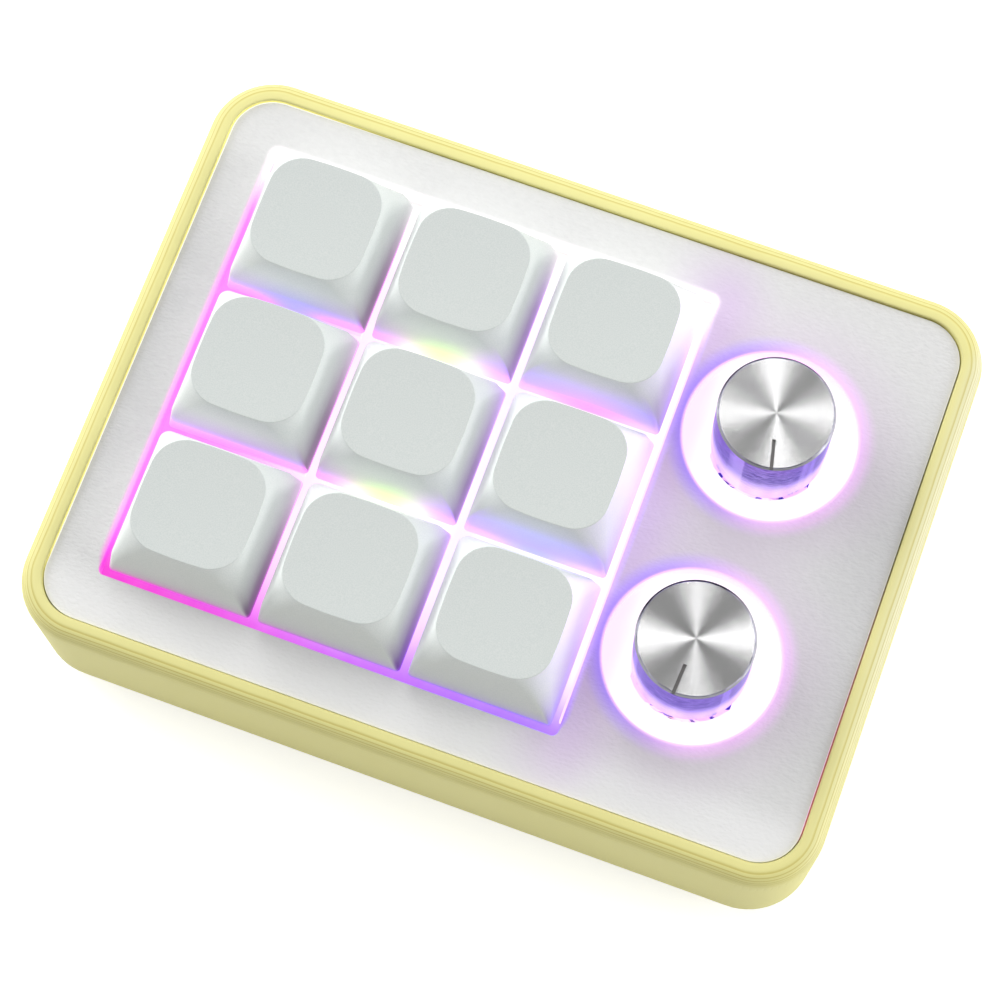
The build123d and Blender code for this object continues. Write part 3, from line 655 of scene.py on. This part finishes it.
def plate_finish():
    plate = Finish("white plate", roughness=0.5)
    x = plate.along("X")
    y = plate.along("Y")
    hatch = plate.noise(0.34, 4, (0.5, 1, 1), (0, 0, radians(-20)))
    grain = plate.noise(0.9, 4)
    # Painted shade at the left and right ends, and painted light near the front.
    painted_shade_at_ends = plate.fade(plate.sum("ABSOLUTE", x), 30, 48) * plate.fade(plate.sum("ABSOLUTE", y), 32, 8)
    bright = plate.mix(grain, shade(233, 233, 232), shade(243, 243, 242))
    bright = plate.mix(plate.fade(y, -27, -32), bright, shade(251, 251, 250))
    white_with_painted_shade_and_light = plate.mix(painted_shade_at_ends, bright, plate.mix(grain, shade(216, 216, 217), shade(226, 226, 226)))
    inside = window[2] - window_corner
    side_x = plate.sum("MAXIMUM", plate.sum("ABSOLUTE", x - window[0]) - inside, 0)
    side_y = plate.sum("MAXIMUM", plate.sum("ABSOLUTE", y - window[1]) - inside, 0)
    from_window = plate.sum("SQRT", side_x * side_x + side_y * side_y) - window_corner
    hue = glow_hue(plate)
    # Painted light: a lilac glow in the base colour near the window's right edge.
    painted_window_glow = plate.fade(from_window, 9, 0) * plate.fade(x, 8, 20)
    colour = plate.mix(painted_window_glow * 0.8, white_with_painted_shade_and_light, shade(232, 205, 246))
    edge = plate.fade(from_window, plate.fade(y, -26, -29, 0.95, 0.12), -0.1)
    colour = plate.mix(edge * 0.8, colour, hue)
    light = plate.mix(edge * 0.8, (0, 0, 0), hue)
    for centre_x, centre_y in holes:
        away_x = x - centre_x
        away_y = y - centre_y
        from_hole = plate.sum("SQRT", away_x * away_x + away_y * away_y) - hole_radius
        leftward = plate.fade(away_x, 5, -9)
        halo_hue = plate.mix(leftward, shade(245, 190, 255), shade(158, 122, 255))
        colour = plate.mix(plate.fade(from_hole, 9, 0) * 0.35, colour, shade(238, 215, 243))
        halo = plate.fade(from_hole, 2.6, -0.3)
        colour = plate.mix(halo * 0.8, colour, halo_hue)
        light = plate.mix(halo * 0.55, light, halo_hue)
        ring = plate.fade(from_hole, 0.45, -0.1)
        colour = plate.mix(ring, colour, shade(255, 215, 252))
        light = plate.mix(ring, light, shade(255, 200, 250))
    # Painted light: a thin glow along the plate's outer edge, white along the front and right, almost none
    # towards the left, and magenta on the near half of the right edge.
    rim_light = plate.fade(plate.from_outline(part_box("top_plate"), 5.3), 0.14, 0.05)
    rim_hue = plate.mix(plate.fade(x, -20, -46) * plate.fade(y, -33, -26), (0.05, 0.05, 0.03), (1, 1, 1))
    rim_hue = plate.mix(plate.fade(x - y, 40, 75) * plate.fade(y, -31.5, -29), rim_hue, shade(176, 60, 160))
    light = plate.mix(rim_light, light, rim_hue)
    plate.set(base_color=colour, emission_color=light, emission_strength=0.6)
    plate.set(normal=plate.bump(hatch, 0.07, plate.bump(grain, 0.04)))
    return plate.material


def dress(material, *names):
    """Gives a finish to CAD nodes."""
    for name in names:
        for slot in nodes[name].material_slots:
            slot.material = material


dress(plate_finish(), "top_plate")

# %% [markdown]
# ## Printed tray
# The tray was printed in layers, and on the rounded rim each layer shows as a fine step: a relief, with a
# painted shade line along each step. Towards the outer edge the rim falls off like a quarter of a circle,
# so steps of equal height lie far apart on top and close together outside. The walls get a deeper yellow,
# which is painted shade, and the right rim a paler one, which is painted light.

# %% Tray finish
layer = 0.24
rim_round = 2.1
tray_corner = 8.2


def tray_finish():
    tray = Finish("pale yellow print", roughness=0.5)
    tray_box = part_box("lower_case")
    top = tray_box[1].z / mm
    height = tray.along("Z")
    inward = tray.sum("MINIMUM", tray.from_outline(tray_box, tray_corner) / rim_round, 1)
    fall = 1 - tray.sum("MAXIMUM", inward, 0)
    curve = tray.sum("SQRT", 1 - fall * fall) * rim_round * tray.fade(height, top - 4.5, top - 1.6)
    wobble = tray.noise(7, 2) * 0.06
    level = tray.sum("MINIMUM", height, top - rim_round) + curve + wobble
    step = tray.sum("FRACT", level / layer)
    groove = 1 - tray.fade(step, 0.0, 0.35) * tray.fade(step, 1.0, 0.85)
    line = 1 - groove * tray.fade(inward, 0.02, 0.3, 0.35, 1.0)
    on_rim = tray.fade(height, top - 4, top - 1.5, 0.25, 1.0)
    cloud = tray.noise(14, 3)
    colour = tray.mix(cloud, shade(249, 241, 156), shade(253, 247, 170))
    # Painted light: the right rim is paler, towards white.
    painted_light_on_right_rim = tray.fade(tray.along("X"), 47.6, 50) * tray.fade(tray.along("Y"), -30, 0, 0.3, 1.0) * on_rim
    colour = tray.mix(painted_light_on_right_rim * 0.6, colour, shade(255, 253, 232))
    # Painted shade: the walls are a deeper, darker yellow than the top.
    walls = tray.fade(tray.facing()[2], 0.5, 0.1)
    colour = tray.mix(walls, colour, tray.mix(cloud, shade(243, 235, 140), shade(247, 240, 152)))
    # Painted shade: a darker line along each layer step, besides the relief.
    tray.set(base_color=tray.mix((1 - line) * on_rim * 0.6, colour, shade(214, 196, 84)))
    tray.set(normal=tray.bump(line * on_rim, 0.012, tray.bump(curve, 0.16, tray.soft_edges(0.6))))
    return tray.material


dress(tray_finish(), "lower_case")

# %% [markdown]
# ## Parts under the window
# Between the keys one sees the switch plate and the clear switches, washed out by the light of the LEDs.
# Those parts give painted light, an emission in the hue of the LEDs, which also lights the skirts of the
# keys, as the real ones do. Under the far edge of the top plate they are painted black, a painted shade.
# The milky diffuser round the knobs and the steel under it glow with painted light too.

# %% Lit parts


def lit_finish(name, strength, white):
    lit = Finish(name, roughness=0.4)
    hue = glow_hue(lit)
    cloud = lit.noise(2.5, 3)
    x = lit.along("X")
    y = lit.along("Y")
    second_lane = lit.fade(lit.sum("ABSOLUTE", x - middle_column - key_pitch / 2), 2.4, 0.8)
    to_middle = lit.fade(x, -38, -14) * lit.fade(y, -30, -14) * (1 - second_lane * 0.35)
    # Painted light: the hue of the LEDs, washed towards white in the middle, in colour and emission.
    painted_glow_and_shade = lit.mix(to_middle * white + 0.1 * cloud, hue, (1, 1, 1))
    under_knobs = lit.mix(cloud, shade(255, 200, 250), (1, 1, 1))
    painted_glow_and_shade = lit.mix(lit.fade(x, 17, 19), painted_glow_and_shade, under_knobs)
    # Painted shade: black under the far edge of the top plate.
    painted_glow_and_shade = lit.mix(lit.fade(y, 29.5, 33) * 0.95, painted_glow_and_shade, (0, 0, 0))
    lit.set(base_color=lit.mix(0.6, painted_glow_and_shade, (0, 0, 0)), emission_color=painted_glow_and_shade, emission_strength=strength)
    lit.set(normal=lit.bump(cloud, 0.05))
    return lit.material


dress(lit_finish("lit switch plate", 0.95, 0.85), "switch_plate")
dress(lit_finish("lit clear switches", 0.9, 0.75), "switch_lower_housings", "switch_upper_housings")
dress(lit_finish("lit board", 0.85, 0.8), "circuit_board")
dress(lit_finish("lit LEDs", 2.0, 0.8), "key_leds", "knob_leds")


def diffuser_finish():
    milk = Finish("milky diffuser", roughness=0.4)
    cloud = milk.noise(3, 3)
    x = milk.along("X")
    # Painted light: the diffuser glows white in the emission, pinker towards the left.
    leftward = milk.fade(x - holes[0][0], -6.5, -9.5)
    painted_glow_white = milk.mix(cloud, shade(255, 246, 255), shade(255, 254, 255))
    colour = milk.mix(leftward, painted_glow_white, shade(255, 226, 252))
    milk.set(base_color=milk.mix(0.65, colour, (0, 0, 0)), emission_color=colour, emission_strength=0.9)
    milk.set(normal=milk.bump(cloud, 0.03))
    return milk.material


def lit_metal_finish():
    lit = Finish("steel under the diffuser", metallic=1.0, roughness=0.3)
    patch = lit.noise(1.6, 2)
    # Painted light: violet spots in the colour and a pink-violet glow in the emission.
    painted_glow_spots = lit.fade(patch, 0.52, 0.6)
    lit.set(base_color=lit.mix(painted_glow_spots, shade(200, 190, 215), shade(60, 50, 130)))
    glow = lit.mix(painted_glow_spots, shade(255, 190, 250), shade(70, 50, 170))
    lit.set(emission_color=glow, emission_strength=0.7)
    lit.set(normal=lit.bump(patch, 0.04))
    return lit.material


dress(diffuser_finish(), "knob_diffuser")
dress(lit_metal_finish(), "encoder_brackets", "encoder_bases")

# %% [markdown]
# ## Small parts
# The rest is seen only from behind, from below or through a gap: rubber, moulded black and dark plastic,
# plated steel, brass and stamped contacts. Each gets a plain finish with its own grain.

# %% Finishes of the small parts


def plain_finish(name, dark, light, grain, depth, roughness=0.5, metallic=0.0):
    """A two-tone finish with a fine relief."""
    plain = Finish(name, roughness=roughness, metallic=metallic)
    noise = plain.noise(grain, 3)
    plain.set(base_color=plain.mix(noise, dark, light))
    plain.set(normal=plain.bump(noise, depth, plain.soft_edges(0.12)))
    return plain.material


plated_steel = plain_finish(
    "plated steel", shade(168, 170, 174), shade(198, 199, 203), 0.4, 0.006, 0.28, 1.0
)
stems = [f"key_stem_{number}" for number in key_numbers]
dress(plain_finish("black rubber", shade(38, 38, 40), shade(52, 52, 54), 0.3, 0.03, 0.85), "rubber_feet")
dress(plain_finish("moulded black", shade(22, 22, 24), shade(34, 34, 36), 0.25, 0.01, 0.45),
      "usb_tongue", "controller_chip", "key_diodes")
dress(plain_finish("rotor plastic", shade(40, 40, 44), shade(58, 58, 62), 0.25, 0.01, 0.5),
      "encoder_rotor_1", "encoder_rotor_2", "knob_core_1", "knob_core_2")
dress(plated_steel, "lid_screws", "usb_shell", "encoder_domes")
dress(plain_finish("turned aluminium", shade(196, 196, 200), shade(218, 218, 222), 0.3, 0.006, 0.3, 1.0),
      "encoder_shaft_1", "encoder_shaft_2")
dress(plain_finish("brass", shade(190, 152, 84), shade(214, 178, 108), 0.3, 0.006, 0.3, 1.0),
      "thread_inserts")
dress(plain_finish("stamped contacts", shade(200, 176, 120), shade(222, 200, 146), 0.3, 0.006, 0.3, 1.0),
      "switch_contacts", "encoder_terminals")
dress(plain_finish("stem plastic", shade(214, 218, 222), shade(228, 231, 234), 0.3, 0.01, 0.4), *stems)

# %% [markdown]
# ## Key springs
# Each key stands on a steel coil. A small ring of wire is spun about the axis and rises a little at every
# step, which gives a screw line. A coil can't follow the key as a whole, so it stays with the case.

# %% Spring form
wire_radius = 0.17
wire_sides = 8
coil_turns = 6
steps_per_turn = 20


def spring_form(name, x, y, low, high, reach):
    turned = coil_turns * steps_per_turn
    rise = (high - low - 2 * wire_radius) / turned
    place = Matrix.Translation(Vector((x + reach - wire_radius, y, low + wire_radius)) * mm)
    mesh = bmesh.new()
    ring = bmesh.ops.create_circle(
        mesh, segments=wire_sides, radius=wire_radius * mm, matrix=place @ Matrix.Rotation(pi / 2, 4, "X")
    )["verts"]
    edges = list({edge for point in ring for edge in point.link_edges})
    bmesh.ops.spin(
        mesh, geom=ring + edges, cent=(x * mm, y * mm, 0), axis=(0, 0, 1), dvec=(0, 0, rise * mm),
        angle=2 * pi * coil_turns, steps=turned
    )
    bmesh.ops.holes_fill(mesh, edges=[edge for edge in mesh.edges if edge.is_boundary])
    bmesh.ops.recalc_face_normals(mesh, faces=mesh.faces)
    return finish_piece(mesh, name, plated_steel, 60)


for number in key_numbers:
    low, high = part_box(f"key_spring_{number}")
    middle = (low + high) / 2 / mm
    reach = (high.x - low.x) / 2 / mm
    spring = spring_form(f"spring_{number}", middle.x, middle.y, low.z / mm, high.z / mm, reach)
    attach(spring, "case")
    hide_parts(f"key_spring_{number}")
    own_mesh(spring)

# %% [markdown]
# ## Floor and light
# The pad lies on a pale floor in a white room. Two broad softboxes stand low at the left and right. Three
# narrow, tall lamps hang higher, at the left, the far side and the right: they make the beams on the
# knobs. No lamp stands in front and the room is dimmer there, so the front wall is the darkest. The
# ceiling is grey, so that the spun metal shows dark between its beams.

# %% Studio


def softbox(name, side, height, width, tall, watts, away=1100):
    """An area lamp at an angle round the pad and a height over it, turned towards the pad."""
    lamp = bpy.data.lights.new(name, "AREA")
    lamp.shape = "RECTANGLE"
    lamp.size = width * mm
    lamp.size_y = tall * mm
    lamp.energy = watts
    post = bpy.data.objects.new(name, lamp)
    level = cos(radians(height))
    direction = Vector((cos(radians(side)) * level, sin(radians(side)) * level, sin(radians(height))))
    facing = direction.to_track_quat("Z", "Y").to_matrix().to_4x4()
    post.matrix_world = Matrix.Translation(direction * away * mm) @ facing
    bpy.context.scene.collection.objects.link(post)


softbox("left softbox", 163, 20, 700, 420, 5.4)
softbox("right softbox", 8, 22, 600, 420, 4.4)
softbox("left beam", 165, 62, 150, 480, 0.95)
softbox("far beam", 101, 48, 190, 480, 1.3)
softbox("right beam", 46, 55, 150, 480, 0.95)

floor_mesh = bmesh.new()
bmesh.ops.create_grid(floor_mesh, x_segments=1, y_segments=1, size=4)
floor_finish = Finish("pale floor", roughness=0.9, base_color=(0.9, 0.9, 0.9))
floor_light = floor_finish.mix(floor_finish.seen(), (0, 0, 0), (1, 1, 1))
floor_finish.set(emission_color=floor_light, emission_strength=0.62)
floor = finish_piece(floor_mesh, "floor", floor_finish.material)

room = bpy.data.worlds.new("room")
room.use_nodes = True
bpy.context.scene.world = room
air = Tree(room.node_tree)
direction = air.node("ShaderNodeTexCoord", output="Generated")
height = air.node("ShaderNodeSeparateXYZ", None, {0: direction}, output="Z")
wall_top = 0.10
ceiling_start = 0.42
ceiling_seen = 0.23
ceiling_light = 0.45
front_light = 0.32
front = radians(-60)
mirrored = air.fade(height, wall_top, ceiling_start, 1.0, ceiling_seen)
ceiling = air.fade(height, wall_top, ceiling_start, 1.0, ceiling_light)
frontward = air.vector("DOT_PRODUCT", direction, (cos(front), sin(front), 0), "Value")
light = ceiling * air.fade(frontward, 0.1, 0.9, 1.0, front_light)
strength = air.seen() * (mirrored - light) + light
air.fill(room.node_tree.nodes["Background"].inputs["Color"], (1, 1, 1))
air.fill(room.node_tree.nodes["Background"].inputs["Strength"], strength)

bpy.context.scene.view_settings.view_transform = "Standard"
print("lamps", len(bpy.data.lights))
